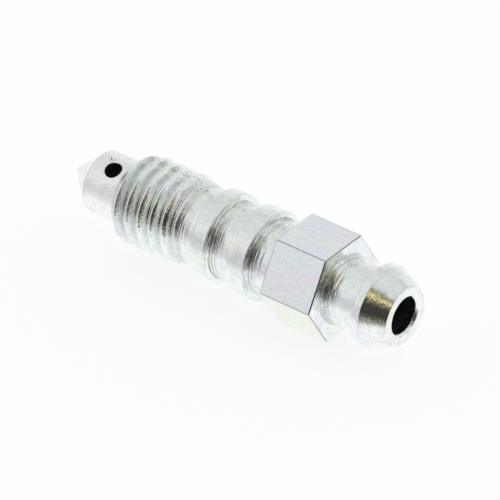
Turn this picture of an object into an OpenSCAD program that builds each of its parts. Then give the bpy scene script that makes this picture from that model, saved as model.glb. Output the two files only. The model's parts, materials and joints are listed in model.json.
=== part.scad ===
// Brake bleeder screw, turned from one hexagon bar: seat cone, pierced dog, thread,
// two collars with a groove beside each, hexagon and hose nipple, with an axial bore.
// It lies on a flat of its hexagon: +X runs along the axis to the nipple, +Z is up.

/* [Seat end] */
// Angle between the sides of the seat cone, in degrees
seat_angle = 85; // [70:1:110]
// Radius of the rounded nose at the cone's tip
nose_r = 0.5; // [0.2:0.05:0.9]
// Step from the roots of the thread down to the plain dog
dog_step = 0.523; // [0.3:0.001:0.8]
// Length of the dog, from the cone's edge to the front face of the thread
dog_len = 3.2; // [2.6:0.1:6]
// Rounding of the edge between cone and dog
dog_edge_r = 0.15; // [0.05:0.05:0.3]

/* [Thread] */
// Nominal diameter of the thread
thread_d = 8; // [7.8:0.05:9]
// How far the flattened crests lie below the nominal diameter, on each side
crest_cut = 0.1; // [0.08:0.01:0.15]
// Distance from one crest to the next
thread_pitch = 1.25; // [0.75:0.25:1.25]
// Length of the thread with its chamfer and its run-out
thread_len = 7.55; // [6:0.05:12]
// Width of the flat front face, from the dog to the starting chamfer
front_face_w = 0.165; // [0.12:0.005:0.35]
// Turn of the screw at which a crest meets the front face, in degrees
start_turn = 317; // [0:1:359]
// Length over which the thread groove runs out
runout_len = 1.1; // [0.8:0.05:2.5]

/* [Collars and grooves] */
// Depth of the neck behind the thread, below the crests
neck_depth = 0.55; // [0.4:0.01:0.6]
// Length of the neck behind the thread
neck_len = 1.48; // [1:0.02:4]
// Diameter of both collars
collar_d = 7.82; // [7.5:0.02:8]
// Width of the collar beside the neck
front_collar_w = 1.48; // [1:0.02:3]
// Width of the collar nearer the hexagon
rear_collar_w = 1.82; // [1:0.02:3]
// Depth of both grooves below the collars
groove_depth = 0.56; // [0.35:0.01:0.8]
// Width of both grooves
groove_w = 2.28; // [1.5:0.02:4]
// Fillet in the corners of the grooves
groove_fillet = 0.2; // [0.05:0.05:0.35]
// Break on the edges of the collars
collar_edge = 0.06; // [0.02:0.01:0.12]

/* [Hexagon] */
// Width across the flats
hex_af = 8; // [7.8:0.1:10]
// Length of the hexagon
hex_len = 5.11; // [3:0.01:8]

/* [Hose nipple] */
// Diameter of the stem between hexagon and barb
stem_d = 5.76; // [5.2:0.02:6.2]
// Length of the stem
stem_len = 3.35; // [2:0.05:6]
// Fillet where the stem meets the hexagon
stem_fillet = 0.4; // [0.1:0.05:0.8]
// Diameter of the barb over its land
barb_d = 7.14; // [6.6:0.02:7.8]
// Width of the barb's land
barb_land = 0.78; // [0.4:0.02:1.5]
// Length of the barb's cone
barb_cone = 2.09; // [1.5:0.01:4]
// Diameter of the end face
end_d = 5.16; // [4.6:0.02:5.8]
// Break on the edges of the barb and the end face
barb_edge = 0.1; // [0.02:0.01:0.15]

/* [Bore] */
// Diameter of the axial bore
bore_d = 3.2; // [2:0.05:3.4]
// Depth of the chamfer at the mouth of the bore
bore_mouth = 0.2; // [0.1:0.05:0.35]
// Angle of the drill point that closes the bore, in degrees
drill_point = 118; // [90:1:140]
// How far the bore's full diameter runs past the far side of the cross hole
bore_past_cross = 0.2; // [0:0.05:0.3]
// Diameter of the cross hole through the dog
cross_d = 1.52; // [1:0.02:1.8]
// Distance from the edge of the seat cone to the middle of the cross hole
cross_place = 1.95; // [1.6:0.05:2.2]
// Turn of the cross hole from straight up towards the front, in degrees
cross_turn = 22; // [-90:1:90]

/* [Hidden] */

// Facets round a turn, facets of the helix round a turn, and steps along a rounded corner
$fn = 96;
helix_steps = 48;
arc_steps = 5;
// How deep pieces reach into each other, and how far a cut stands clear of the metal
overlap = 0.3;
clear = 0.1;
bright_zinc = "#dfe3e4";

// Metric thread form: flanks at 30 degrees to a cross section, depth in pitches
flank = tan(30);
form_depth = 0.61343;
root_d = thread_d - 2 * form_depth * thread_pitch;
crest_d = thread_d - 2 * crest_cut;
crest_flat = thread_pitch / 8 + 2 * crest_cut * flank;
root_flat = thread_pitch - crest_flat - (crest_d - root_d) * flank;

// Diameters that follow the thread and the collars
dog_d = root_d - 2 * dog_step;
front_face_d = dog_d + 2 * front_face_w;
neck_d = crest_d - 2 * neck_depth;
groove_d = collar_d - 2 * groove_depth;

// Stations along the axis, counted from the tip of the nose
half_seat = seat_angle / 2;
nose_centre = nose_r;
cone_apex = nose_centre - nose_r / sin(half_seat);
z_dog = cone_apex + dog_d / 2 / tan(half_seat);
z_cross = z_dog + cross_place;
z_thread = z_dog + dog_len;
z_neck = z_thread + thread_len;
z_front_collar = z_neck + neck_len;
z_front_groove = z_front_collar + front_collar_w;
z_rear_collar = z_front_groove + groove_w;
z_rear_groove = z_rear_collar + rear_collar_w;
z_hex = z_rear_groove + groove_w;
z_stem = z_hex + hex_len;
z_barb = z_stem + stem_len;
z_cone = z_barb + barb_land;
z_end = z_cone + barb_cone;
z_bore = z_cross - cross_d / 2 - bore_past_cross;

// Crest edges, then root edges, counted along the axis from the middle of a crest
form = [-crest_flat / 2, crest_flat / 2,
        (thread_pitch - root_flat) / 2, (thread_pitch + root_flat) / 2];
// Slope of the long shoulder that ends the threaded length
shoulder = 17;
lead_turns = 2;
helix_start = z_thread - (lead_turns + start_turn / 360) * thread_pitch;
helix_rows = len(form) * ceil((z_neck - helix_start) / thread_pitch + 1);

// Radius of the thread's roots at station z: a smooth rise to just above the neck
runout_rise = 1.1 * (neck_d - root_d) / 2;
function root_r(z) =
    let (t = min(1, max(0, (z - z_neck + clear + runout_len) / runout_len)))
    root_d / 2 + runout_rise * t * t * (3 - 2 * t);

// Point of the threaded bar: row counts form points along the helix, step counts round it
function helix_z(row, step) =
    helix_start + thread_pitch * (floor(row / len(form)) + step / helix_steps)
    + form[row % len(form)];
function helix_r(row, z) =
    row % len(form) < 2 ? crest_d / 2 : min(crest_d / 2, root_r(z));
function helix_point(row, step) =
    let (z = helix_z(row, step), r = helix_r(row, z), turn = 360 * step / helix_steps)
    [r * cos(turn), r * sin(turn), z];

// Corner [r, z, rounding] of an outline between its neighbours, as points along an arc that
// takes less than half of each side
function rounded(before, corner, after) =
    let (
        a = [before[0] - corner[0], before[1] - corner[1]],
        b = [after[0] - corner[0], after[1] - corner[1]],
        ua = a / norm(a),
        ub = b / norm(b),
        half = acos(max(-1, min(1, ua * ub))) / 2,
        reach = min(corner[2] / tan(half), norm(a) / 2.1, norm(b) / 2.1),
        r = reach * tan(half),
        middle = [corner[0], corner[1]] + (ua + ub) / norm(ua + ub) * r / sin(half),
        first = [corner[0], corner[1]] + ua * reach - middle,
        last = [corner[0], corner[1]] + ub * reach - middle,
        sweep = 180 - 2 * half
    )
    [for (i = [0:arc_steps])
        middle + (first * sin(sweep * (1 - i / arc_steps)) + last * sin(sweep * i / arc_steps))
            / sin(sweep)];

// Outline with its rounded corners drawn: entries are [r, z] or [r, z, rounding]
function outline(corners) =
    [for (i = [0:len(corners) - 1])
        each is_undef(corners[i][2]) ? [corners[i]]
            : rounded(corners[i - 1], corners[i], corners[i + 1])];

// Bar with the thread all along it, longer than the threaded part at both ends
module threaded_bar() {
    rows = helix_rows;
    k = len(form);
    side = [for (row = [0:rows - 1], step = [0:helix_steps - 1]) helix_point(row, step)];
    low = rows * helix_steps;
    high = low + 1;
    // A step past the last one is the first step one pitch further along
    function at(row, step) =
        step < helix_steps ? row * helix_steps + step : (row + k) * helix_steps;
    walls = [for (step = [0:helix_steps - 1], row = [0:rows - 2])
        if (step < helix_steps - 1 || row < rows - 1 - k)
            each [[at(row, step), at(row + 1, step), at(row + 1, step + 1)],
                  [at(row, step), at(row + 1, step + 1), at(row, step + 1)]]];
    low_end = [for (step = [0:helix_steps - 1]) [low, at(0, step), at(0, step + 1)]];
    low_step = [for (row = [0:k - 1]) [low, at(row + 1, 0), at(row, 0)]];
    last = helix_steps - 1;
    high_end = [for (step = [0:last])
        let (row = step < last ? rows - 1 : rows - 1 - k)
        [high, at(row, step + 1), at(row, step)]];
    high_step = [for (row = [rows - 1 - k:rows - 2])
        [high, at(row, last), at(row + 1, last)]];
    polyhedron(
        points = concat(side, [[0, 0, helix_z(0, helix_steps / 2)],
                               [0, 0, helix_z(rows - 1, helix_steps / 2)]]),
        faces = concat(walls, low_end, low_step, high_end, high_step), convexity = 12);
}

// Turned outline of the threaded part: front face, starting chamfer, shoulder to the neck
module thread_blank() {
    full = crest_d / 2 + clear;
    inside = neck_d / 2 - clear;
    rotate_extrude()
        polygon([
            [0, z_thread],
            [front_face_d / 2, z_thread],
            [full, z_thread + full - front_face_d / 2],
            [full, z_neck - (full - neck_d / 2) / tan(shoulder)],
            [inside, z_neck + clear / tan(shoulder)],
            [0, z_neck + clear / tan(shoulder)]]);
}

// Everything turned round the axis apart from the thread and the hexagon
module turned_body() {
    nose = [for (i = [0:arc_steps])
        let (a = (90 - half_seat) * i / arc_steps)
        [nose_r * sin(a), nose_centre - nose_r * cos(a)]];
    rotate_extrude()
        polygon(outline(concat(nose, [
            [dog_d / 2, z_dog, dog_edge_r],
            [dog_d / 2, z_neck - clear],
            [neck_d / 2, z_neck - clear],
            [neck_d / 2, z_front_collar, groove_fillet],
            [collar_d / 2, z_front_collar, collar_edge],
            [collar_d / 2, z_front_groove, collar_edge],
            [groove_d / 2, z_front_groove, groove_fillet],
            [groove_d / 2, z_rear_collar, groove_fillet],
            [collar_d / 2, z_rear_collar, collar_edge],
            [collar_d / 2, z_rear_groove, collar_edge],
            [groove_d / 2, z_rear_groove, groove_fillet],
            [groove_d / 2, z_hex, groove_fillet],
            [groove_d / 2 + 2 * groove_fillet, z_hex],
            [groove_d / 2 + 2 * groove_fillet, z_hex + overlap],
            [stem_d / 2 + 2 * stem_fillet, z_hex + overlap],
            [stem_d / 2 + 2 * stem_fillet, z_stem],
            [stem_d / 2, z_stem, stem_fillet],
            [stem_d / 2, z_barb, groove_fillet],
            [barb_d / 2, z_barb, barb_edge],
            [barb_d / 2, z_cone, barb_edge],
            [end_d / 2, z_end, barb_edge],
            [0, z_end]])));
}

module hexagon() {
    translate([0, 0, z_hex])
        rotate([0, 0, 30])
            cylinder(h = hex_len, d = hex_af / cos(30), $fn = 6);
}

// Axial bore, closed by its drill point and chamfered at its mouth
module axial_bore() {
    rotate_extrude()
        polygon([
            [0, z_bore - bore_d / 2 / tan(drill_point / 2)],
            [bore_d / 2, z_bore],
            [bore_d / 2, z_end - bore_mouth],
            [bore_d / 2 + bore_mouth + overlap, z_end + overlap],
            [0, z_end + overlap]]);
}

// Cross hole through both walls of the dog
module cross_hole() {
    translate([0, 0, z_cross])
        rotate([0, 90, cross_turn])
            cylinder(h = dog_d + 2 * overlap, d = cross_d, center = true);
}

module bleeder_screw() {
    color(bright_zinc)
        translate([-z_end / 2, 0, hex_af / 2])
            rotate([0, 90, 0])
                difference() {
                    union() {
                        intersection() {
                            threaded_bar();
                            thread_blank();
                        }
                        turned_body();
                        hexagon();
                    }
                    axial_bore();
                    cross_hole();
                }
}

bleeder_screw();
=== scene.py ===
"""Looks of a brake bleeder screw: bright zinc plate over turned steel, lying on a pale studio floor."""

import json
from math import atan2, ceil, cos, pi, radians, sin, sqrt, tan
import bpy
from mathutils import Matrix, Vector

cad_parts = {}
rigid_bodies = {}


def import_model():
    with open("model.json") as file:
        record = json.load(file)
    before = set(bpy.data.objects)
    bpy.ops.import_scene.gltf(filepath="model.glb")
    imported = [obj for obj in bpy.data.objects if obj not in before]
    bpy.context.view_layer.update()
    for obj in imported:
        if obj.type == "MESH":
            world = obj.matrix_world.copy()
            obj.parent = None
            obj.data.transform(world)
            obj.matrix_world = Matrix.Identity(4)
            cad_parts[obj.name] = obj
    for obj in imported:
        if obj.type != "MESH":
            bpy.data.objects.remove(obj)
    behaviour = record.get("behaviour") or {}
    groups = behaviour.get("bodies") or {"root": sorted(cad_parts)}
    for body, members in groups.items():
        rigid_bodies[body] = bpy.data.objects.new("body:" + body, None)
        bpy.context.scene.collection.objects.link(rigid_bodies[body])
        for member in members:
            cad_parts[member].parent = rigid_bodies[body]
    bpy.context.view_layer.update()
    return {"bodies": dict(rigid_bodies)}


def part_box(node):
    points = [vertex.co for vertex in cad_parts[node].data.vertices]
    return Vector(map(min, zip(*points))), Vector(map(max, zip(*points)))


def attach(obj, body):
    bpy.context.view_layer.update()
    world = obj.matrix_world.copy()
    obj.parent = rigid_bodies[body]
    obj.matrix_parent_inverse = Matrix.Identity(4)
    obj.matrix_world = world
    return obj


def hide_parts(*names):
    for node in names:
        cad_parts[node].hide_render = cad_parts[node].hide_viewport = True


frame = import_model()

from types import SimpleNamespace

import bpy
import numpy as np
from bpy.props import FloatProperty, FloatVectorProperty, IntProperty, PointerProperty
from mathutils import Matrix, Vector

NODE = "bleeder_screw"
BODY = next(iter(frame["bodies"]))
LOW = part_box(NODE)[0]
MM = 0.001

bl_info = {
    "name": "Bleeder screw",
    "version": (1, 0, 0),
    "blender": (4, 5, 0),
    "location": "3D View > Sidebar > Bleeder screw",
    "description": "Builds a zinc plated brake bleeder screw and the studio it lies in",
    "category": "Object",
}


def length(name, text, millimetres, least=0.0):
    """A length property whose default is given in millimetres."""
    return FloatProperty(name=name, description=text, default=millimetres * MM,
                         min=least, unit="LENGTH", precision=5)


def angle(name, text, degrees):
    """An angle property whose default is given in degrees."""
    return FloatProperty(name=name, description=text, default=radians(degrees),
                         subtype="ANGLE", unit="ROTATION")


def linear(code):
    """Linear colour of an sRGB hex value."""
    channels = [int(code[k:k + 2], 16) / 255 for k in (1, 3, 5)]
    return [c / 12.92 if c <= 0.04045 else ((c + 0.055) / 1.055) ** 2.4 for c in channels]


def colour(name, text, code):
    """A colour property whose default is an sRGB hex value."""
    return FloatVectorProperty(name=name, description=text, default=linear(code),
                               subtype="COLOR", size=3, min=0.0, max=1.0)


class SeatSizes(bpy.types.PropertyGroup):
    """Seat cone, dog and cross hole."""
    seat_angle: angle("Seat angle", "Angle between the sides of the seat cone", 85)
    nose_r: length("Nose radius", "Rounding of the cone's tip", 0.5)
    dog_r: length("Dog radius", "Radius of the plain dog", 2.71)
    dog_len: length("Dog length", "From the cone's edge to the thread's front face", 3.2)
    dog_edge: length("Dog edge", "Rounding between cone and dog", 0.15)
    cross_r: length("Cross hole radius", "Radius of the cross hole", 0.76)
    cross_place: length("Cross hole place", "From the cone's edge to the hole's middle", 1.95)
    cross_turn: angle("Cross hole turn", "From straight up towards the front", 22)
    cross_edge: length("Cross hole edge", "Break on the mouth of the cross hole", 0.04)


class ThreadSizes(bpy.types.PropertyGroup):
    """M8x1.25 thread with its starting chamfer and run-out."""
    major_r: length("Nominal radius", "Half the nominal diameter", 4.0)
    crest_r: length("Crest radius", "Radius over the flattened crests", 3.9)
    pitch: length("Pitch", "From one crest to the next", 1.25)
    thread_len: length("Thread length", "With its chamfer and its run-out", 7.55)
    front_face_w: length("Front face width", "Flat ring between dog and chamfer", 0.165)
    start_turn: angle("Start turn", "Where a crest meets the front face", 317)
    runout: length("Run-out", "Length over which the groove runs out", 1.1)
    shoulder: angle("Shoulder", "Slope from the crests down to the neck", 17)
    corner: length("Crest rounding", "Height over which the rolled crest corners are round", 0.22)


class CollarSizes(bpy.types.PropertyGroup):
    """Neck, collars and grooves."""
    neck_r: length("Neck radius", "Radius of the neck behind the thread", 3.35)
    neck_len: length("Neck length", "Length of the neck", 1.48)
    collar_r: length("Collar radius", "Radius of both collars", 3.91)
    front_w: length("Front collar width", "Width of the collar beside the neck", 1.48)
    rear_w: length("Rear collar width", "Width of the collar nearer the hexagon", 1.82)
    groove_r: length("Groove radius", "Radius of both grooves", 3.35)
    groove_w: length("Groove width", "Width of both grooves", 2.28)
    fillet: length("Groove fillet", "Fillet in the grooves' corners", 0.2)
    edge: length("Collar edge", "Break on the collars' edges", 0.08)
    front_edge: length("Front collar edge", "Break on the front collar's edge beside the neck", 0.16)


class HexagonSizes(bpy.types.PropertyGroup):
    """Hexagon of 8 mm across flats."""
    half_flats: length("Half across flats", "From the axis to a flat", 4.0)
    hex_len: length("Hexagon length", "Length of the hexagon", 5.11)
    corner_r: length("Corner rounding", "Rounding of the six long edges", 0.07)
    edge: length("End edge", "Rounding of the edges round both ends", 0.11)


class NippleSizes(bpy.types.PropertyGroup):
    """Stem, barb, end face and axial bore."""
    stem_r: length("Stem radius", "Radius of the stem", 2.88)
    stem_len: length("Stem length", "From the hexagon to the barb", 3.35)
    stem_fillet: length("Stem fillet", "Fillet where the stem meets the hexagon", 0.4)
    barb_r: length("Barb radius", "Radius over the barb's land", 3.57)
    land: length("Land width", "Width of the barb's land", 0.78)
    cone: length("Cone length", "Length of the barb's cone", 2.09)
    end_r: length("End radius", "Radius of the end face", 2.58)
    edge: length("Barb edge", "Break on the barb's edges", 0.1)
    bore_r: length("Bore radius", "Radius of the axial bore", 1.6)
    mouth: length("Bore mouth", "Depth of the chamfer at the mouth", 0.2)
    lip: length("Bore lip", "Rounding on both edges of the mouth's chamfer", 0.25)
    past_cross: length("Bore past hole", "How far the bore runs past the cross hole", 0.2)
    drill_point: angle("Drill point", "Angle of the drill point", 118)


class GridSizes(bpy.types.PropertyGroup):
    """How finely the surface is divided."""
    flat_steps: IntProperty(name="Steps on a flat", default=28, min=8, max=60,
                            description="Columns along each flat of the hexagon")
    corner_steps: IntProperty(name="Steps round a corner", default=4, min=2, max=12,
                              description="Columns round each corner of the hexagon")
    arc_steps: IntProperty(name="Steps on an arc", default=4, min=2, max=12,
                           description="Rows round each turned edge or fillet")
    hold: length("Holding row", "Distance of the row that keeps a face flat", 0.03)


class FinishColours(bpy.types.PropertyGroup):
    """Colours of the finishes; the clear film on the plate drifts between three of them."""
    turned: colour("Turned plate", "Zinc plate on the turned and rolled parts", "#f5fbfa")
    turned_violet: colour("Turned plate, violet film", "Where its film is violet", "#f5f8fb")
    turned_green: colour("Turned plate, green film", "Where its film is green", "#f7fbf5")
    drawn: colour("Hexagon's plate", "Zinc plate on the flats of the hexagon", "#f4fbff")
    drawn_violet: colour("Hexagon's plate, violet film", "Where its film is violet", "#faf8ff")
    drawn_green: colour("Hexagon's plate, green film", "Where its film is green", "#f9fffa")
    # Painted shade: a darker, greener plate colour for the flats below the axis
    drawn_low_shade: colour("Hexagon's lower flats", "Zinc plate on the flats below the axis", "#edf3e9")
    dull: colour("Dull plate", "Zinc plate on the seat cone and dog", "#f6f9f8")
    dull_violet: colour("Dull plate, violet film", "Where its film is violet", "#f9f9f9")
    dull_green: colour("Dull plate, green film", "Where its film is green", "#f7f9f6")
    worn: colour("Worn edge", "Plate rubbed off along the hexagon's edges", "#a6a8ae")
    # Painted shade: the bare steel in the bore is given a dark colour for the shade inside the hole
    bore: colour("Bore", "Bare steel inside the bore", "#55555a")


class RoomSettings(bpy.types.PropertyGroup):
    """What the plate mirrors besides the white walls."""
    camera_side: colour("Camera side", "The unlit side where the camera stands", "#8e8879")
    darkest: colour("Camera", "The camera and its stand", "#423f3a")
    lamp: colour("Lamp", "Warm lamp above the camera", "#ffeaad")
    lamp_edge: colour("Lamp's shade", "Round the warm lamp", "#aa996f")
    front_spot: colour("Low dark spot", "Small dark thing at the front", "#6c6f73")
    high_spot: colour("High dark spot", "Small dark thing above the back", "#505559")
    level: FloatProperty(name="Level", default=1.0, min=0.0, description="Strength of the room's light")
    paper: FloatProperty(name="Paper", default=0.25, min=0.0, max=1.0,
                         description="Share of light that the floor throws back")
    paper_glow: FloatProperty(name="Paper's own light", default=0.82, min=0.0,
                              description="Light the floor adds, so that it renders white")


class StageSettings(bpy.types.PropertyGroup):
    """Camera, light and floor."""
    azimuth: angle("Azimuth", "Camera's turn from looking along +Y", 39.34)
    elevation: angle("Elevation", "Camera's height above the horizon", 35.16)
    roll: angle("Roll", "Camera's turn about its own axis", -1.04)
    distance: length("Distance", "From the camera to its target", 508.1)
    target: FloatVectorProperty(name="Target", size=3, subtype="XYZ", unit="LENGTH",
                                description="Point that the camera looks at",
                                default=(1.42 * MM, -0.36 * MM, 4.0 * MM))
    lens: FloatProperty(name="Lens", default=450.3, unit="CAMERA", subtype="DISTANCE_CAMERA",
                        description="Focal length on a 36 mm sensor")
    floor_r: length("Floor radius", "Radius of the studio floor", 600)


GROUPS = {
    "seat": SeatSizes,
    "thread": ThreadSizes,
    "collars": CollarSizes,
    "hexagon": HexagonSizes,
    "nipple": NippleSizes,
    "grid": GridSizes,
    "colours": FinishColours,
    "room": RoomSettings,
    "stage": StageSettings,
}


class ScrewSettings(bpy.types.PropertyGroup):
    """All sizes and settings of the screw and its stage."""
    __annotations__ = {key: PointerProperty(type=group) for key, group in GROUPS.items()}


def stations(s):
    """Places along the axis from the tip of the nose, worked out from the sizes."""
    half = s.seat.seat_angle / 2
    apex = s.seat.nose_r - s.seat.nose_r / sin(half)
    at = SimpleNamespace(half_seat=half)
    at.dog = apex + s.seat.dog_r / tan(half)
    at.cross = at.dog + s.seat.cross_place
    at.thread = at.dog + s.seat.dog_len
    at.neck = at.thread + s.thread.thread_len
    at.front_collar = at.neck + s.collars.neck_len
    at.front_groove = at.front_collar + s.collars.front_w
    at.rear_collar = at.front_groove + s.collars.groove_w
    at.rear_groove = at.rear_collar + s.collars.rear_w
    at.hexagon = at.rear_groove + s.collars.groove_w
    at.stem = at.hexagon + s.hexagon.hex_len
    at.barb = at.stem + s.nipple.stem_len
    at.cone = at.barb + s.nipple.land
    at.end = at.cone + s.nipple.cone
    at.bore = at.cross - s.seat.cross_r - s.nipple.past_cross
    return at


def corner_arc(h):
    """How far the middle of a corner's rounding is from the axis, and half the turn it takes."""
    centre_r = (h.half_flats - h.corner_r) / cos(radians(30))
    return centre_r, atan2(h.corner_r * sin(radians(30)), centre_r + h.corner_r * cos(radians(30)))


def column_angles(s):
    """Angles round the axis, dense at the hexagon's six rounded corners.

    On each side the angle runs from corner to corner: even steps along the flat,
    then even steps round the corner's arc."""
    centre_r, arc = corner_arc(s.hexagon)
    edge = radians(30) - arc
    guard = s.grid.hold / centre_r
    flat = np.linspace(-edge + guard, edge - guard, s.grid.flat_steps)
    corner = np.linspace(edge, radians(60) - edge, s.grid.corner_steps + 1)
    side = np.concatenate([flat, corner])
    return (np.arange(6)[:, None] * radians(60) + side).ravel()


def hexagon_r(phi, h, inset=0.0):
    """Distance from the axis to the hexagon's outline at angle phi.

    A flat gives half the flats over the cosine of the angle from its middle; a corner
    gives the far crossing with a small circle that touches both flats."""
    from_flat = (phi + radians(30)) % radians(60) - radians(30)
    from_corner = radians(30) - np.abs(from_flat)
    half = h.half_flats - inset
    centre_r = (half - h.corner_r) / cos(radians(30))
    flat = half / np.cos(from_flat)
    reach = np.maximum(h.corner_r ** 2 - (centre_r * np.sin(from_corner)) ** 2, 0)
    corner = centre_r * np.cos(from_corner) + np.sqrt(reach)
    return np.where(centre_r * np.sin(from_corner) < h.corner_r / 2, corner, flat)


def rounded(corners, steps, hold):
    """Outline through corners (z, r, rounding) with an arc at each rounded one.

    A row a short way before and after each arc keeps the straight parts straight."""
    out = []
    points = [np.array(c[:2]) for c in corners]
    for k, corner in enumerate(corners):
        if len(corner) < 3:
            out.append(points[k])
            continue
        a = points[k - 1] - points[k]
        b = points[k + 1] - points[k]
        la, lb = np.linalg.norm(a), np.linalg.norm(b)
        a, b = a / la, b / lb
        half = np.arccos(np.clip(a @ b, -1, 1)) / 2
        reach = min(corner[2] / tan(half), la / 2.2, lb / 2.2)
        r = reach * tan(half)
        middle = points[k] + (a + b) / np.linalg.norm(a + b) * r / sin(half)
        first, last = points[k] + a * reach - middle, points[k] + b * reach - middle
        sweep = pi - 2 * half
        if la / 2.2 > reach + hold:
            out.append(points[k] + a * (reach + hold))
        for t in np.linspace(0, 1, steps + 1):
            out.append(middle + (first * sin(sweep * (1 - t)) + last * sin(sweep * t)) / sin(sweep))
        if lb / 2.2 > reach + hold:
            out.append(points[k] + b * (reach + hold))
    return np.array(out)


def spaced(start, stop, count):
    """Even points strictly between two outline points."""
    t = np.linspace(0, 1, count + 2)[1:-1, None]
    return np.array(start) * (1 - t) + np.array(stop) * t


def soft_min(a, b, k):
    """The smaller of two surfaces, with the edge where they cross rounded off over k."""
    h = np.maximum(k - np.abs(a - b), 0) / k
    return np.minimum(a, b) - h * h * k / 4


class Skin:
    """Points and faces of one closed surface, gathered patch by patch."""

    def __init__(self):
        self.points = []
        self.wear = []
        self.faces = []
        self.finish = []
        self.count = 0

    def add(self, xyz, wear=0.0):
        """Adds an array of points and returns their numbers in the same shape.

        Wear says how much of an edge each point is, from 0 on a face to 1 on a sharp edge."""
        xyz = np.asarray(xyz, float)
        flat = xyz.reshape(-1, 3)
        numbers = np.arange(self.count, self.count + len(flat)).reshape(xyz.shape[:-1])
        self.points.append(flat)
        self.wear.append(np.broadcast_to(wear, xyz.shape[:-1]).ravel())
        self.count += len(flat)
        return numbers

    def quads(self, near, far, finish):
        """Joins two arrays of point numbers: the last axis runs round, and closes itself."""
        a, b = near, np.roll(near, -1, -1)
        c, d = np.roll(far, -1, -1), far
        self.keep(np.stack([a, b, c, d], -1).reshape(-1, 4), finish)

    def keep(self, quads, finish):
        """Takes quads, drops those merged to a line, and turns those merged once into triangles."""
        same = quads == np.roll(quads, -1, -1)
        merged = same.sum(-1)
        whole = quads[merged == 0]
        self.faces.append(np.concatenate([whole, whole[:, :1] * 0 + 4], -1))
        self.finish.append(np.full(len(whole), finish))
        once = quads[merged == 1]
        drop = same[merged == 1].argmax(-1)
        order = (drop[:, None] + 1 + np.arange(3)) % 4
        three = np.take_along_axis(once, order, -1)
        self.faces.append(np.concatenate([three, three[:, :1], three[:, :1] * 0 + 3], -1))
        self.finish.append(np.full(len(three), finish))

    def cap(self, ring, tip, finish):
        """Closes a ring with triangles to one point; the ring runs so that the tip is ahead."""
        around = np.stack([ring, np.roll(ring, -1), np.full_like(ring, tip)], -1)
        self.faces.append(np.concatenate([around, around[:, :1], around[:, :1] * 0 + 3], -1))
        self.finish.append(np.full(len(around), finish))


def turned(z, r, phi):
    """Points at stations z, distances r and angles phi, with the axis along z."""
    z, r, phi = np.broadcast_arrays(z, r, phi)
    return np.stack([r * np.cos(phi), r * np.sin(phi), z], -1)


def thread_grid(s, at, phi):
    """Rows that follow the helix: (z, r) of every row at every angle, and the end station.

    The surface is the smaller of the turned blank and a V groove with a round bottom. The
    groove's middle climbs one pitch a turn, and its bottom rises to the neck as it runs out.
    Rows lie at fixed places across the groove, and close together at the crest corners."""
    t = s.thread
    slope = tan(radians(30))
    depth = 0.61343 * t.pitch
    bottom_r = 0.14434 * t.pitch
    root = t.major_r - depth
    face_r = s.seat.dog_r + t.front_face_w
    last = at.neck + 0.1 * MM

    def blank(z):
        start = face_r + (z - at.thread)
        end = s.collars.neck_r + (at.neck - z) * tan(t.shoulder)
        return np.maximum(np.minimum(np.minimum(start, t.crest_r), end), s.collars.neck_r * (z > at.neck - 1 * MM))

    def run_out(middle):
        """How far the groove has run out: 0 up to its run-out and 1 at the neck."""
        share = np.clip((middle - at.neck + 0.1 * MM + t.runout) / t.runout, 0, 1)
        return share * share * (3 - 2 * share)

    first = at.thread - (1.5 + t.start_turn / (2 * pi)) * t.pitch
    turns = ceil((last - first) / t.pitch) + 1
    middle = first + t.pitch * (np.arange(turns)[:, None] + phi[None, :] / (2 * pi))
    low = root + 1.1 * (s.collars.neck_r - root) * run_out(middle)
    round_over = t.corner * (1 - run_out(middle)) + 0.01 * MM
    touch = bottom_r * cos(radians(30))
    rise = bottom_r * (1 - sin(radians(30)))

    def corner(side):
        """Distance from the groove's middle at which its flank meets the blank."""
        d = np.full_like(middle, 0.3 * MM)
        for _ in range(12):
            d = 0.5 * d + 0.5 * (touch + (blank(middle + side * d) - low - rise) * slope)
            d = np.clip(d, touch + 0.05 * MM, t.pitch / 2 - 0.06 * MM)
        return d

    def radius(z):
        d = np.abs(z - middle_of)
        arc = bottom_r - np.sqrt(np.maximum(bottom_r ** 2 - np.minimum(d, touch) ** 2, 0))
        groove = low_of + arc + np.maximum(d - touch, 0) / slope
        return soft_min(blank(z), groove, round_over[:, None])

    def offsets(d):
        """Distances of one side's rows from the groove's middle, from the crest inwards."""
        crest = [d + share * (t.pitch / 2 - d) for share in (0.7, 0.35, 0)]
        flank = [d + share * (touch - d) for share in (0.14, 0.28, 0.42, 0.6, 0.8, 1)]
        return crest + flank + [d * 0 + 0.7 * touch, d * 0 + 0.35 * touch]

    rows = [middle - t.pitch / 2] + [middle - k for k in offsets(corner(-1))]
    rows += [middle] + [middle + k for k in offsets(corner(1))[::-1]]
    z = np.stack(rows, 1)
    middle_of, low_of = middle[:, None], low[:, None]
    r = radius(z)
    z, r = z.reshape(-1, len(phi)), r.reshape(-1, len(phi))
    return np.clip(z, at.thread, last), r, len(rows), last


def hole_loop(count_round, count_along):
    """Grid steps round a window's edge: (column, row) from 0, counter-clockwise from outside."""
    c, r = count_round, count_along
    side = [(k, 0) for k in range(c)] + [(c, k) for k in range(r)]
    back = [(c - k, r) for k in range(c)] + [(0, r - k) for k in range(r)]
    return np.array(side + back)


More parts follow.
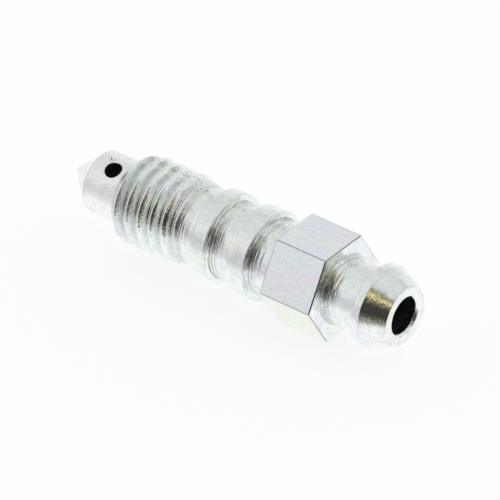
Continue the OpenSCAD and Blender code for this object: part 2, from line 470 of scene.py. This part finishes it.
def build_skin(s):
    """The screw's whole surface in its own frame: nose at z 0, axis along z."""
    at = stations(s)
    phi = column_angles(s)
    n = len(phi)
    arc, hold = s.grid.arc_steps, s.grid.hold
    seat, col, hexa, nip = s.seat, s.collars, s.hexagon, s.nipple
    skin = Skin()
    TURNED, BAR, DULL, BORE = range(4)

    # Front: nose, seat cone, dog and front face
    bow = np.linspace(0, pi / 2 - at.half_seat, 6)[1:]
    nose = np.stack([seat.nose_r * (1 - np.cos(bow)), seat.nose_r * np.sin(bow)], -1)
    face_r = seat.dog_r + s.thread.front_face_w
    half_window = 1.05 * MM
    window_rows = 12
    edge = rounded([tuple(nose[-1]), (at.dog, seat.dog_r, seat.dog_edge),
                    (at.cross - half_window, seat.dog_r)], arc, hold)
    root = rounded([(at.cross + half_window, seat.dog_r), (at.thread, seat.dog_r, 0.06 * MM),
                    (at.thread, face_r)], arc, hold)
    dog = spaced((at.cross - half_window, seat.dog_r), (at.cross + half_window, seat.dog_r),
                 window_rows - 1)
    front = np.concatenate([nose, spaced(nose[-1], edge[1], 5), edge[1:], dog, root])
    on_edge = np.exp(-((front[:, :1] - at.dog) / (0.05 * MM)) ** 2) * 0.6
    rings = skin.add(turned(front[:, :1], front[:, 1:], phi), on_edge)
    tip = skin.add([[0, 0, 0]])[0]
    first_dog = len(nose) + 5 + len(edge) - 2
    DOG_A, DOG_B = first_dog, first_dog + window_rows

    # Two windows in the dog, and two in the bore, where the cross hole passes
    mouths = [seat.cross_turn, seat.cross_turn + pi]
    half_turn = np.arcsin(half_window / seat.dog_r)
    spans = []
    for middle in mouths:
        off = (phi - middle + pi) % (2 * pi) - pi
        inside = np.where(np.abs(off) <= half_turn + radians(1.2))[0]
        order = inside[np.argsort(off[inside])]
        spans.append(order)
    width = min(len(o) for o in spans)
    spans = [o[(len(o) - width) // 2:][:width] for o in spans]

    def ring_faces(rows, finish, holes=()):
        """Faces between neighbouring rows, but for the windows (first row, last row, columns)."""
        near, far = rows[:-1], rows[1:]
        a, b = near, np.roll(near, -1, -1)
        c, d = np.roll(far, -1, -1), far
        stays = np.ones(near.shape, bool)
        for row_a, row_b, columns in holes:
            stays[row_a:row_b, columns[:-1]] = False
        skin.keep(np.stack([a, b, c, d], -1)[stays], finish)

    ring_faces(rings, DULL, [(DOG_A, DOG_B, o) for o in spans])
    skin.cap(rings[0][::-1], tip, DULL)

    # Thread: rows along the helix, merged with the plain rings where they reach them
    z, r, per, last = thread_grid(s, at, phi)
    end_ring = skin.add(turned(np.full(n, last), np.full(n, col.neck_r), phi))
    numbers = skin.add(turned(z, r, phi))
    numbers = np.where(z <= at.thread + 1e-9, rings[-1][None, :], numbers)
    numbers = np.where(z >= last - 1e-9, end_ring[None, :], numbers)
    seam = np.concatenate([numbers[per:, 0], np.repeat(end_ring[0], per)])
    wide = np.concatenate([numbers, seam[:, None]], 1)
    a, b = wide[:-1, :-1], wide[:-1, 1:]
    c, d = wide[1:, 1:], wide[1:, :-1]
    skin.keep(np.stack([a, b, c, d], -1).reshape(-1, 4), TURNED)

    # Rear: neck, collars and grooves up to the hexagon
    g, f, e = col.groove_r, col.fillet, col.edge
    middle = rounded([
        (last, col.neck_r), (at.front_collar, col.neck_r, f), (at.front_collar, col.collar_r, col.front_edge),
        (at.front_groove, col.collar_r, e), (at.front_groove, g, f), (at.rear_collar, g, f),
        (at.rear_collar, col.collar_r, e), (at.rear_groove, col.collar_r, e),
        (at.rear_groove, g, f), (at.hexagon, g, f), (at.hexagon, g + 2 * f)], arc, hold)
    numbers = skin.add(turned(middle[1:, :1], middle[1:, 1:], phi))
    ring_faces(np.concatenate([end_ring[None], numbers]), TURNED)
    joint = numbers[-1]

    # Hexagon: its end faces grow from a ring to the outline, then the flats run between them
    def hex_ring(station, inner, share, inset):
        outline = hexagon_r(phi, hexa, inset)
        return turned(station, inner * (1 - share) + outline * share, phi)

    he = hexa.edge
    inner = g + 2 * f
    bend = np.linspace(0, pi / 2, arc + 1)
    left_face = [hex_ring(at.hexagon, inner, k, he + hold) for k in (0.35, 0.7, 1)]
    left_edge = [hex_ring(at.hexagon + he * (1 - cos(b)), inner, 1, he * (1 - sin(b))) for b in bend]
    along_arc = np.sin(2 * bend)[:, None]
    from_corner = radians(30) - np.abs((phi + radians(30)) % radians(60) - radians(30))
    on_corner = (from_corner < 1.01 * corner_arc(hexa)[1])[None, :]
    left_wear = np.concatenate([np.zeros((3, 1)), along_arc]) * np.ones((1, n))
    left = skin.add(np.stack(left_face + left_edge), left_wear)
    ring_faces(np.concatenate([joint[None], left]), TURNED)
    inner = nip.stem_r + 2 * nip.stem_fillet
    flats = [hex_ring(k, 0, 1, 0) for k in np.concatenate([
        [at.hexagon + he + hold], np.linspace(at.hexagon, at.stem, 8)[1:-1], [at.stem - he - hold]])]
    right_edge = [hex_ring(at.stem - he * (1 - sin(b)), inner, 1, he * (1 - cos(b))) for b in bend]
    right_face = [hex_ring(at.stem, inner, k, he + hold) for k in (1, 0.7, 0.35, 0)]
    flat_rows = skin.add(np.stack(flats), on_corner * np.ones((len(flats), 1)))
    right_wear = np.concatenate([along_arc, np.zeros((4, 1))]) * np.ones((1, n))
    right = skin.add(np.stack(right_edge + right_face), right_wear)
    ring_faces(np.concatenate([left[-1:], flat_rows, right[:1]]), BAR)
    ring_faces(right, TURNED)

    # Nipple: stem, barb, end face, mouth of the bore
    stem = rounded([
        (at.stem, inner), (at.stem, nip.stem_r, nip.stem_fillet), (at.barb, nip.stem_r, f),
        (at.barb, nip.barb_r, nip.edge), (at.cone, nip.barb_r, nip.edge),
        (at.end, nip.end_r, nip.edge), (at.end, nip.bore_r + nip.mouth, nip.lip),
        (at.end - nip.mouth, nip.bore_r, nip.lip), (at.end - 4 * nip.mouth, nip.bore_r)], arc, hold)
    numbers = skin.add(turned(stem[1:, :1], stem[1:, 1:], phi))
    ring_faces(np.concatenate([right[-1:], numbers]), TURNED)

    # Bore: its columns widen round the cross hole, then it closes in the drill point
    inner_half = 0.95 * MM
    inner_turn = np.arcsin(inner_half / nip.bore_r)
    wide_phi = phi.copy()
    for order, centre in zip(spans, mouths):
        off = np.linspace(-inner_turn, inner_turn, width)
        wide_phi[order] = centre + off
        wide_phi[order] += 2 * pi * np.round((phi[order] - wide_phi[order]) / (2 * pi))
    outside = np.ones(n, bool)
    for order in spans:
        outside[order] = False
    for k in range(2):
        start, stop = spans[k][-1], spans[1 - k][0]
        between = (start + 1 + np.arange((stop - start - 1) % n)) % n
        a0 = wide_phi[start]
        a1 = a0 + (wide_phi[stop] - a0) % (2 * pi)
        step = np.arange(1, len(between) + 1) / (len(between) + 1)
        value = a0 + (a1 - a0) * step
        wide_phi[between] = value + 2 * pi * np.round((phi[between] - value) / (2 * pi))
    deep = np.concatenate([
        np.linspace(at.end - 4 * nip.mouth, at.cross + 3 * MM, 10)[1:],
        np.linspace(at.cross + 3 * MM, at.cross + inner_half, 6)[1:-1],
        np.linspace(at.cross + inner_half, at.cross - inner_half, window_rows + 1),
        [at.bore]])
    share = np.clip((at.cross + 3 * MM - deep) / (1.5 * MM), 0, 1)[:, None]
    share[-1] = 1
    bore_phi = phi * (1 - share) + wide_phi * share
    bore_rings = skin.add(turned(deep[:, None], nip.bore_r, bore_phi))
    row_a = 9 + 4
    row_b = row_a + window_rows
    ring_faces(np.concatenate([numbers[-1:], bore_rings]), BORE,
               [(row_a + 1, row_b + 1, o) for o in spans])
    point = at.bore - nip.bore_r / tan(nip.drill_point / 2)
    bottom = skin.add([[0, 0, point]])[0]
    skin.cap(bore_rings[-1], bottom, BORE)

    # Cross hole: from the window in the dog through the wall to the window in the bore
    loop = hole_loop(width - 1, window_rows)
    for order, centre in zip(spans, mouths):
        across = np.array([cos(centre), sin(centre), 0])
        aside = np.array([-sin(centre), cos(centre), 0])
        outer = rings[DOG_A + loop[:, 1], order[loop[:, 0]]]
        inner_loop = bore_rings[row_b - loop[:, 1], order[loop[:, 0]]]
        off = (phi[order[loop[:, 0]]] - centre + pi) % (2 * pi) - pi
        side = seat.dog_r * np.sin(off)
        along = front[DOG_A + loop[:, 1], 0] - at.cross
        turn = np.arctan2(side, along)

        def on_round(radius, ring_side, ring_along, lift=0.0):
            reach = np.sqrt(radius ** 2 - ring_side ** 2) - lift
            return (across * reach[:, None] + aside * ring_side[:, None]
                    + np.array([0, 0, 1]) * (at.cross + ring_along)[:, None])

        def rim(size):
            return size * np.sin(turn), size * np.cos(turn)

        broken = seat.cross_r + seat.cross_edge
        rim_side, rim_along = rim(broken)
        steps = [on_round(seat.dog_r, side * (1 - k) + rim_side * k, along * (1 - k) + rim_along * k)
                 for k in (0.45, 0.8, 0.95, 1)]
        rim_side, rim_along = rim(seat.cross_r + seat.cross_edge * 0.3)
        steps += [on_round(seat.dog_r, rim_side, rim_along, seat.cross_edge * 0.3)]
        rim_side, rim_along = rim(seat.cross_r)
        wall_out = on_round(seat.dog_r, rim_side, rim_along, seat.cross_edge)
        wall_in = on_round(nip.bore_r, rim_side, rim_along)
        skin_rows = [outer, skin.add(np.stack(steps))]
        walls = skin.add(np.stack([wall_out * (1 - k) + wall_in * k for k in (0, 0.05, 0.5, 0.95, 1)]))
        top = np.concatenate([skin_rows[0][None], skin_rows[1]])
        skin.quads(top[:-1], top[1:], DULL)
        skin.quads(top[-1:], walls[:1], DULL)
        low = np.concatenate([walls, inner_loop[None]])
        skin.quads(low[:-1], low[1:], BORE)
    return skin, at


def to_mesh(name, skin, place):
    """Puts the gathered points and faces into a mesh, moved by place."""
    points = np.concatenate(skin.points)
    points = points @ np.array(place.to_3x3()).T + np.array(place.translation)
    faces = np.concatenate(skin.faces)
    finish = np.concatenate(skin.finish)
    sizes = faces[:, 4]
    corners = faces[:, :4][np.arange(4)[None, :] < sizes[:, None]]
    used, corners = np.unique(corners, return_inverse=True)
    mesh = bpy.data.meshes.new(name)
    mesh.vertices.add(len(used))
    mesh.vertices.foreach_set("co", points[used].astype(np.float32).ravel())
    worn = mesh.attributes.new("edge_wear", "FLOAT", "POINT")
    worn.data.foreach_set("value", np.concatenate(skin.wear)[used].astype(np.float32))
    mesh.loops.add(len(corners))
    mesh.loops.foreach_set("vertex_index", corners.astype(np.int32).ravel())
    mesh.polygons.add(len(sizes))
    starts = np.concatenate([[0], np.cumsum(sizes)[:-1]])
    mesh.polygons.foreach_set("loop_start", starts.astype(np.int32))
    mesh.polygons.foreach_set("material_index", finish.astype(np.int32))
    mesh.polygons.foreach_set("use_smooth", np.ones(len(sizes), bool))
    mesh.update(calc_edges=True)
    mesh.validate()
    return mesh


def add_node(tree, kind, links=(), values=(), **settings):
    """Adds a node, sets its fields, gives its sockets values, and links (socket, source) pairs."""
    made = tree.nodes.new(kind)
    for key, value in settings.items():
        setattr(made, key, value)
    for socket, value in values:
        made.inputs[socket].default_value = value
    for socket, source in links:
        tree.links.new(source, made.inputs[socket])
    return made


def new_metal(name, shade, roughness):
    """A metal with its even values set on the shader itself; returns its tree and shader."""
    made = bpy.data.materials.new(name)
    made.use_nodes = True
    shader = made.node_tree.nodes["Principled BSDF"]
    shader.inputs["Base Color"].default_value = (*shade, 1)
    shader.inputs["Metallic"].default_value = 1
    shader.inputs["Roughness"].default_value = roughness
    return made, made.node_tree, shader


def math(tree, operation, *inputs, clamp=False):
    """One arithmetic step between numbers or sockets."""
    links = [(k, v) for k, v in enumerate(inputs) if not isinstance(v, (int, float))]
    values = [(k, v) for k, v in enumerate(inputs) if isinstance(v, (int, float))]
    return add_node(tree, "ShaderNodeMath", links, values, operation=operation,
                    use_clamp=clamp).outputs[0]


def axis_places(tree):
    """Place along the screw's axis, distance from it, height over it, the whole place, and the
    place across the axis, all in millimetres, from the object's own coordinates."""
    place = add_node(tree, "ShaderNodeTexCoord").outputs["Object"]
    moved = add_node(tree, "ShaderNodeMapping", [("Vector", place)],
                     [("Location", (0, 0, -4)), ("Scale", (1000, 1000, 1000))]).outputs[0]
    parts = add_node(tree, "ShaderNodeSeparateXYZ", [(0, moved)])
    across = add_node(tree, "ShaderNodeCombineXYZ",
                      [("Y", parts.outputs["Y"]), ("Z", parts.outputs["Z"])]).outputs[0]
    far = add_node(tree, "ShaderNodeVectorMath", [(0, across)], operation="LENGTH")
    return SimpleNamespace(along=parts.outputs["X"], far=far.outputs["Value"], whole=moved,
                           across=across, high=parts.outputs["Z"])


def noise(tree, where, scale, detail=2.0, roughness=0.5):
    """Smooth random values round 0.5, scale times as fine as the given place."""
    return add_node(tree, "ShaderNodeTexNoise", [("Vector", where)],
                    [("Scale", scale), ("Detail", detail), ("Roughness", roughness)]).outputs["Fac"]


def spread(tree, value, low, high, to_low=0.0, to_high=1.0):
    """Maps low..high to to_low..to_high, smoothly and with nothing beyond."""
    return add_node(tree, "ShaderNodeMapRange", [("Value", value)],
                    [("From Min", low), ("From Max", high), ("To Min", to_low), ("To Max", to_high)],
                    interpolation_type="SMOOTHSTEP", clamp=True).outputs["Result"]


def turning_marks(tree, places, spacing, stretch, shift=0.0, on_faces=1.0):
    """Rings left by the turning tool: noise that changes once every spacing mm along the axis
    and along the radius, and once every stretch mm round the screw. With on_faces at 0 the
    noise stays the same along the radius, so the end faces get no rings."""
    x = math(tree, "MULTIPLY_ADD", places.along, 1 / spacing, shift)
    r = math(tree, "MULTIPLY", places.far, on_faces / spacing)
    slow = add_node(tree, "ShaderNodeVectorMath", [(0, places.across)],
                    [(1, (0, 1 / stretch, 0.7 / stretch))], operation="DOT_PRODUCT").outputs["Value"]
    where = add_node(tree, "ShaderNodeCombineXYZ", [("X", x), ("Y", r), ("Z", slow)]).outputs[0]
    return noise(tree, where, 1.0, 1.0)


def bump(tree, shader, height, depth):
    """Bends the light by a height map; depth is the height of its full range in mm."""
    made = add_node(tree, "ShaderNodeBump", [("Height", height)],
                    [("Strength", 1), ("Distance", depth * MM)])
    tree.links.new(made.outputs[0], shader.inputs["Normal"])


def mixed(tree, share, first, second, blend="MIX"):
    """Mixes two colours, each a socket or a linear colour."""
    links, values = [("Fac", share)], []
    for socket, value in (("Color1", first), ("Color2", second)):
        if isinstance(value, bpy.types.NodeSocket):
            links.append((socket, value))
        else:
            values.append((socket, (*value, 1)))
    return add_node(tree, "ShaderNodeMixRGB", links, values, blend_type=blend).outputs[0]


def film(tree, places, plain, violet, green):
    """The clear passivation film: faint tints that change over a few millimetres."""
    tint = spread(tree, noise(tree, places.whole, 0.35, 1.0), 0.42, 0.62)
    base = mixed(tree, tint, plain, violet)
    drift = add_node(tree, "ShaderNodeVectorMath", [(0, places.whole)], [(1, (11.0, 5.0, 3.0))],
                     operation="ADD").outputs[0]
    patch = spread(tree, noise(tree, drift, 0.5, 1.0), 0.52, 0.68)
    return mixed(tree, patch, base, green)


def plated(tree, shader, plate, shade, worn_colour):
    """Sets the plate's colour, darkened by shade and towards grey on the worn edges."""
    grey = add_node(tree, "ShaderNodeCombineColor",
                    [("Red", shade), ("Green", shade), ("Blue", shade)]).outputs[0]
    plate = add_node(tree, "ShaderNodeMixRGB", [("Color1", plate), ("Color2", grey)],
                     [("Fac", 1.0)], blend_type="MULTIPLY").outputs[0]
    worn = add_node(tree, "ShaderNodeAttribute", attribute_name="edge_wear").outputs["Fac"]
    tree.links.new(mixed(tree, worn, plate, worn_colour), shader.inputs["Base Color"])


def beside_shoulders(tree, places, to):
    """How near a place on a groove's floor is to the shoulder on its seat side, where the tool
    dwelt and dug in: 1 at the shoulder and 0 further than 1.7 mm from it."""
    near = None
    for station, amount in ((to.neck - 0.3, 0.55), (to.front_groove, 1.0),
                            (to.rear_groove, 0.9), (to.stem, 1.0)):
        off = math(tree, "SUBTRACT", places.along, station)
        behind = math(tree, "GREATER_THAN", off, -0.02)
        slope = math(tree, "MULTIPLY_ADD", math(tree, "MAXIMUM", off, 0.2), -1 / 1.7, 1.0, clamp=True)
        here = math(tree, "MULTIPLY", slope, math(tree, "MULTIPLY", behind, amount))
        near = here if near is None else math(tree, "MAXIMUM", near, here)
    return near


def in_object(s):
    """The stations as places along the object's own X, in millimetres."""
    return SimpleNamespace(**{key: (LOW.x + place) / MM for key, place in vars(stations(s)).items()})


def bright_turned_zinc(s):
    """Bright zinc plate over turned and rolled steel: mirror-like, broken up by the tool's rings.

    The rings are 0.1 to 0.3 mm apart and deepest beside the shoulders, where the floor also
    rises a little; the fine ones darken the plate slightly as painted shade. The rolled thread has
    grains 0.3 mm wide instead, painted shade deepening towards the bottom of its grooves and a
    duller plate towards the seat."""
    made, tree, shader = new_metal("bright_turned_zinc", s.colours.turned, 0.12)
    places = axis_places(tree)
    to = in_object(s)
    floor_r, stem_r = s.collars.groove_r / MM, s.nipple.stem_r / MM
    rolled = spread(tree, places.along, to.neck - 0.6, to.neck + 0.1, 1.0, 0.0)
    turned_part = math(tree, "SUBTRACT", 1.0, rolled)
    cone = spread(tree, places.along, to.cone - 0.08, to.cone + 0.12)
    ringed = math(tree, "SUBTRACT", turned_part, math(tree, "MULTIPLY", cone, 0.8))
    fine = turning_marks(tree, places, 0.085, 5.0)
    broad = turning_marks(tree, places, 0.23, 7.0, 40.0)
    grain = noise(tree, places.whole, 4.5, 2.0, 0.6)
    coarse = noise(tree, places.whole, 1.8, 3.0, 0.6)
    patch = noise(tree, places.whole, 0.55, 1.0)
    near = beside_shoulders(tree, places, to)
    streaks = turning_marks(tree, places, 0.16, 3.5, 90.0, on_faces=0.0)
    patchy = spread(tree, patch, 0.42, 0.62, 0.1, 0.55)
    above = math(tree, "SUBTRACT", places.far, spread(tree, places.along, to.stem - 1, to.stem - 0.8,
                                                      floor_r + 0.01, stem_r + 0.02))
    on_floor = spread(tree, above, 0.0, 0.1, 1.0, 0.0)
    dug = math(tree, "MULTIPLY_ADD", math(tree, "MULTIPLY", near, on_floor), 2.6, patchy)
    height = math(tree, "MULTIPLY_ADD", fine, 0.35, broad)
    height = math(tree, "MULTIPLY", math(tree, "MULTIPLY", height, dug), ringed)
    rise = math(tree, "MULTIPLY", math(tree, "MULTIPLY", near, near),
                spread(tree, streaks, 0.35, 0.65, 1.0, 11.0))
    height = math(tree, "ADD", height, rise)
    rough_grain = math(tree, "MULTIPLY_ADD", rolled, 0.7, 0.35)
    height = math(tree, "MULTIPLY_ADD", grain, rough_grain, height)
    height = math(tree, "MULTIPLY_ADD", coarse, math(tree, "MULTIPLY", rolled, 1.6), height)
    far_off = add_node(tree, "ShaderNodeVectorMath", [(0, places.whole)], [(1, (to.neck - 1.6, 0.2, 3.7))],
                       operation="DISTANCE").outputs["Value"]
    glints = turning_marks(tree, places, 0.13, 0.45, 60.0)
    height = math(tree, "MULTIPLY_ADD", glints, math(tree, "MULTIPLY", cone, 1.1), height)
    dents = noise(tree, places.whole, 3.2, 1.0)
    height = math(tree, "MULTIPLY_ADD", dents, spread(tree, far_off, 0.8, 2.6, 6.0, 0.0), height)
    bump(tree, shader, height, 0.022)
    # Painted shade: the fine tool rings darken the plate's colour by up to 8 %, on the turned parts only
    rings = spread(tree, fine, 0.3, 0.6, 0.92, 1.0)
    rings = math(tree, "MAXIMUM", rings, math(tree, "SUBTRACT", 1.0, ringed))
    mottle = spread(tree, coarse, 0.35, 0.6, 0.9, 1.0)
    # Painted shade: on the rolled thread the plate darkens towards the bottom of the grooves, down to 82 % near
    # the groove floor's radius
    groove_shade = spread(tree, places.far, floor_r - 0.1, s.thread.crest_r / MM - 0.06, 0.82, 1.0)
    groove_shade = math(tree, "MAXIMUM", groove_shade, turned_part)
    shade = math(tree, "MULTIPLY", math(tree, "MULTIPLY", rings, mottle), groove_shade)
    c = s.colours
    plated(tree, shader, film(tree, places, c.turned, c.turned_violet, c.turned_green), shade, c.worn)
    for socket, at_seat, behind in (("Roughness", 0.2, 0.12), ("Metallic", 0.72, 1.0)):
        tree.links.new(spread(tree, places.along, to.thread, to.thread + 4.7, at_seat, behind),
                       shader.inputs[socket])
    return made


def bright_drawn_zinc(s):
    """Bright zinc plate over drawn hexagon bar: satin, mottled by the die and by handling."""
    made, tree, shader = new_metal("bright_drawn_zinc", s.colours.drawn, 0.17)
    places = axis_places(tree)
    mottle = noise(tree, places.whole, 2.2, 3.0, 0.6)
    drawn = add_node(tree, "ShaderNodeMapping", [("Vector", places.whole)],
                     [("Scale", (0.35, 6.0, 6.0)), ("Rotation", (0, 0, radians(8)))]).outputs[0]
    lines = noise(tree, drawn, 1.0, 2.0)
    height = math(tree, "MULTIPLY_ADD", lines, 0.15, mottle)
    bump(tree, shader, height, 0.032)
    scuffs = spread(tree, lines, 0.22, 0.4, 0.94, 1.0)
    shade = spread(tree, noise(tree, places.whole, 3.2, 3.0, 0.7), 0.3, 0.55, 0.92, 1.0)
    shade = math(tree, "MULTIPLY", shade, scuffs)
    c = s.colours
    plate = film(tree, places, c.drawn, c.drawn_violet, c.drawn_green)
    # Painted shade: the flats below the axis take the darker, greener plate colour
    shaded_low_flats = spread(tree, places.high, -0.05, 0.05, 1.0, 0.0)
    plated(tree, shader, mixed(tree, shaded_low_flats, plate, c.drawn_low_shade), shade, c.worn)
    return made


def dull_zinc(s):
    """Zinc plate over the finely blasted seat cone and dog: soft, whitish and faintly mottled."""
    made, tree, shader = new_metal("dull_zinc", s.colours.dull, 0.19)
    places = axis_places(tree)
    grain = noise(tree, places.whole, 4.0, 3.0, 0.7)
    bump(tree, shader, grain, 0.035)
    specks = spread(tree, noise(tree, places.whole, 6.0, 2.0, 0.7), 0.28, 0.46, 0.86, 1.0)
    mottle = spread(tree, noise(tree, places.whole, 1.5, 3.0, 0.6), 0.34, 0.5, 0.9, 1.0)
    nick = add_node(tree, "ShaderNodeMapping", [("Vector", places.whole)],
                    [("Location", (in_object(s).cross - 0.93, -0.1, 2.7)), ("Rotation", (0, 0, radians(-40))),
                     ("Scale", (0.32, 0.06, 2.0))], vector_type="TEXTURE").outputs[0]
    off_nick = add_node(tree, "ShaderNodeVectorMath", [(0, nick)], operation="LENGTH").outputs["Value"]
    shade = math(tree, "MULTIPLY", specks, mottle)
    shade = math(tree, "MULTIPLY", shade, spread(tree, off_nick, 0.6, 1.2, 0.3, 1.0))
    c = s.colours
    plated(tree, shader, film(tree, places, c.dull, c.dull_violet, c.dull_green), shade, c.worn)
    return made


def shaded_bore(s):
    """Bare drilled steel inside the bore, where no plate reaches, painted dark as shade in the hole."""
    return new_metal("shaded_bore", s.colours.bore, 0.7)[0]


class SCREW_OT_body(bpy.types.Operator):
    """Builds the screw's whole surface and its finishes"""
    bl_idname = "bleeder.body"
    bl_label = "Bleeder screw"

    def execute(self, context):
        s = context.scene.bleeder
        skin, at = build_skin(s)
        place = Matrix.Translation((LOW.x, 0, s.hexagon.half_flats)) @ Matrix.Rotation(pi / 2, 4, "Y")
        mesh = to_mesh("plated_screw", skin, place)
        for finish in (bright_turned_zinc, bright_drawn_zinc, dull_zinc, shaded_bore):
            mesh.materials.append(finish(s))
        screw = bpy.data.objects.new("plated_screw", mesh)
        context.scene.collection.objects.link(screw)
        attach(screw, BODY)
        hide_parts(NODE)
        return {"FINISHED"}


def ramp(tree, source, stops):
    """Colour ramp through (place, linear level or colour) stops."""
    made = add_node(tree, "ShaderNodeValToRGB", [("Fac", source)])
    elements = made.color_ramp.elements
    while len(elements) < len(stops):
        elements.new(0.5)
    for element, (place, level) in zip(elements, stops):
        element.position = place
        element.color = (level, level, level, 1) if isinstance(level, (int, float)) else (*level, 1)
    return made.outputs["Color"]


def blob(tree, direction, centre, half, soft):
    """How much a direction lies in a patch of the room: 1 inside, 0 outside, soft at the edge.

    The patch is an ellipse in turn and height, with its centre and half widths in degrees.
    The turn is 0 towards -Y and grows towards +X."""
    parts = add_node(tree, "ShaderNodeSeparateXYZ", [(0, direction)])
    x, y, z = (parts.outputs[k] for k in "XYZ")
    turn = math(tree, "DEGREES", math(tree, "ARCTAN2", x, math(tree, "MULTIPLY", y, -1.0)))
    turn = math(tree, "WRAP", math(tree, "SUBTRACT", turn, float(centre[0])), 180.0, -180.0)
    turn = math(tree, "DIVIDE", turn, float(half[0]))
    height = math(tree, "DEGREES", math(tree, "ARCSINE", z))
    height = math(tree, "DIVIDE", math(tree, "SUBTRACT", height, float(centre[1])), float(half[1]))
    far = math(tree, "SQRT", math(tree, "ADD", math(tree, "MULTIPLY", turn, turn),
                                  math(tree, "MULTIPLY", height, height)))
    return spread(tree, far, 1 - soft, 1 + soft, 1.0, 0.0)


def room(tree, direction, c):
    """The studio as the plate mirrors it: white below, soft grey-white walls and ceiling, and
    the dark side where the camera stands, with a warm lamp stand above it."""
    parts = add_node(tree, "ShaderNodeSeparateXYZ", [(0, direction)])
    height = math(tree, "MULTIPLY_ADD", parts.outputs["Z"], 0.5, 0.5)
    front = ramp(tree, height, [(0.0, 1.0), (0.27, 0.97), (0.41, 0.7), (0.55, 0.68), (0.68, 0.82),
                                (0.8, 0.85), (0.9, 0.8), (1.0, 0.77)])
    rear = ramp(tree, height, [(0.0, 1.0), (0.35, 0.97), (0.55, 0.9), (0.7, 0.84), (0.8, 0.73),
                               (0.9, 0.75), (1.0, 0.77)])
    side = math(tree, "MULTIPLY_ADD", parts.outputs["Y"], 1.5, 0.5, clamp=True)
    made = mixed(tree, side, front, rear)
    made = mixed(tree, blob(tree, direction, (36, 24), (54, 47), 0.22), made, c.camera_side)
    made = mixed(tree, blob(tree, direction, (33, 51), (28, 8), 0.5), made, c.lamp_edge)
    made = mixed(tree, blob(tree, direction, (30, 51), (24, 4), 0.5), made, c.lamp)
    made = mixed(tree, blob(tree, direction, (34, 17), (44, 22), 0.3), made, c.darkest)
    made = mixed(tree, blob(tree, direction, (150, 0), (7, 6), 0.5), made, c.front_spot)
    return mixed(tree, blob(tree, direction, (-162, 49), (9, 7), 0.5), made, c.high_spot)


def white_room(c):
    """The world: the room for reflections, and plain white where the camera looks past the floor."""
    world = bpy.data.worlds.new("white_room")
    world.use_nodes = True
    tree = world.node_tree
    direction = add_node(tree, "ShaderNodeTexCoord").outputs["Generated"]
    seen = add_node(tree, "ShaderNodeLightPath").outputs["Is Camera Ray"]
    shown = mixed(tree, seen, room(tree, direction, c), (1.0, 1.0, 1.0))
    tree.nodes["Background"].inputs["Strength"].default_value = c.level
    tree.links.new(shown, tree.nodes["Background"].inputs["Color"])
    return world


def round_floor(radius):
    """A flat disc at height 0: rings of points at growing distance, joined by quads."""
    turn = np.linspace(0, 2 * pi, 97)[:-1]
    far = radius * np.linspace(0, 1, 9)[1:, None] ** 2
    points = np.stack([far * np.cos(turn), far * np.sin(turn), far * 0 + turn * 0], -1)
    skin = Skin()
    rings = skin.add(points)
    middle = skin.add([[0, 0, 0]])[0]
    skin.cap(rings[0], middle, 0)
    skin.quads(rings[1:], rings[:-1], 0)
    return to_mesh("floor", skin, Matrix.Identity(4))


def white_floor(c):
    """White paper: lit by the room, with a little light of its own so that it renders white.

    Light and mirror rays pass through it to the lower half of the room, which is white too."""
    made = bpy.data.materials.new("white_paper")
    made.use_nodes = True
    tree = made.node_tree
    tree.nodes.remove(tree.nodes["Principled BSDF"])
    matt = add_node(tree, "ShaderNodeBsdfDiffuse", values=[("Color", (c.paper, c.paper, c.paper, 1))])
    glow = add_node(tree, "ShaderNodeEmission", values=[("Strength", c.paper_glow)])
    paper = add_node(tree, "ShaderNodeAddShader", [(0, matt.outputs[0]), (1, glow.outputs[0])])
    through = add_node(tree, "ShaderNodeBsdfTransparent")
    seen = add_node(tree, "ShaderNodeLightPath").outputs["Is Camera Ray"]
    both = add_node(tree, "ShaderNodeMixShader",
                    [(0, seen), (1, through.outputs[0]), (2, paper.outputs[0])])
    tree.links.new(both.outputs[0], tree.nodes["Material Output"].inputs["Surface"])
    return made


class SCREW_OT_stage(bpy.types.Operator):
    """Sets the camera, the white room and the floor"""
    bl_idname = "bleeder.stage"
    bl_label = "Studio stage"

    def execute(self, context):
        stage, studio = context.scene.bleeder.stage, context.scene.bleeder.room
        a, e, roll = stage.azimuth, stage.elevation, stage.roll
        back = Vector((sin(a) * cos(e), -cos(a) * cos(e), sin(e)))
        right = Vector((cos(a), sin(a), 0))
        up = back.cross(right)
        across = right * cos(roll) + up * sin(roll)
        above = up * cos(roll) - right * sin(roll)
        camera = bpy.data.objects.new("camera", bpy.data.cameras.new("camera"))
        camera.data.sensor_width = 36
        camera.data.lens = stage.lens
        camera.data.clip_end = 10
        camera.matrix_world = (Matrix.Translation(Vector(stage.target) + back * stage.distance)
                               @ Matrix((across, above, back)).transposed().to_4x4())
        context.scene.collection.objects.link(camera)
        context.scene.camera = camera
        context.scene.world = white_room(studio)
        floor = bpy.data.objects.new("floor", round_floor(stage.floor_r))
        floor.data.materials.append(white_floor(studio))
        context.scene.collection.objects.link(floor)
        context.scene.view_settings.view_transform = "Standard"
        return {"FINISHED"}


class SCREW_PT_panel(bpy.types.Panel):
    """Lists the pieces of the screw"""
    bl_label = "Bleeder screw"
    bl_idname = "SCREW_PT_panel"
    bl_space_type = "VIEW_3D"
    bl_region_type = "UI"
    bl_category = "Bleeder screw"

    def draw(self, context):
        for operator in OPERATORS:
            self.layout.operator(operator.bl_idname, text=operator.bl_label)


OPERATORS = (SCREW_OT_body, SCREW_OT_stage)
CLASSES = (*GROUPS.values(), ScrewSettings, *OPERATORS, SCREW_PT_panel)


def register():
    for each in CLASSES:
        bpy.utils.register_class(each)
    bpy.types.Scene.bleeder = PointerProperty(type=ScrewSettings)


def unregister():
    del bpy.types.Scene.bleeder
    for each in reversed(CLASSES):
        bpy.utils.unregister_class(each)


def main():
    """Registers the classes and builds everything."""
    register()
    bpy.ops.bleeder.body()
    bpy.ops.bleeder.stage()


if __name__ == "__main__":
    main()
